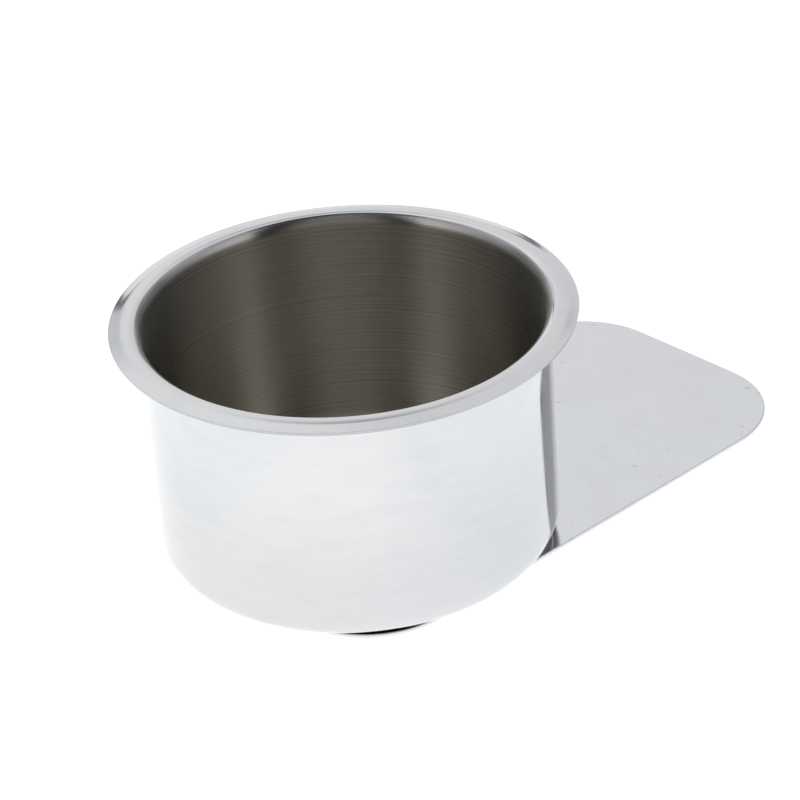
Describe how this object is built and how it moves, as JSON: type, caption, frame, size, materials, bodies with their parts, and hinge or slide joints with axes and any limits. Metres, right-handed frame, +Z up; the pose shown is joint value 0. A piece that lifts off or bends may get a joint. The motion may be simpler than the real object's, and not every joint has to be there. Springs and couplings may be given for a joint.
{
  "type": "slide-under cup holder",
  "caption": "Deep-drawn steel cup with a flange that slopes down to its sheared edge, welded to a flat plate whose long round-cornered tongue slides under a table top to hold it.",
  "frame": {"origin": "on the cup's axis, at the underside of the plate", "axes": "+Z up along the cup's axis, +X along the tongue, away from the cup"},
  "size_m": [0.1686, 0.108, 0.0618],
  "materials": {
    "cup_steel": "polished outside and on the flange, fine brushing around the inside",
    "plate_steel": "polished sheet with faint handling marks",
    "weld_steel": "dull spot weld with a slight heat tint"
  },
  "bodies": {
    "root": {"cup": "cup_steel", "base_plate": "plate_steel", "spot_weld_1": "weld_steel", "spot_weld_2": "weld_steel", "spot_weld_3": "weld_steel", "spot_weld_4": "weld_steel"}
  },
  "joints": []
}
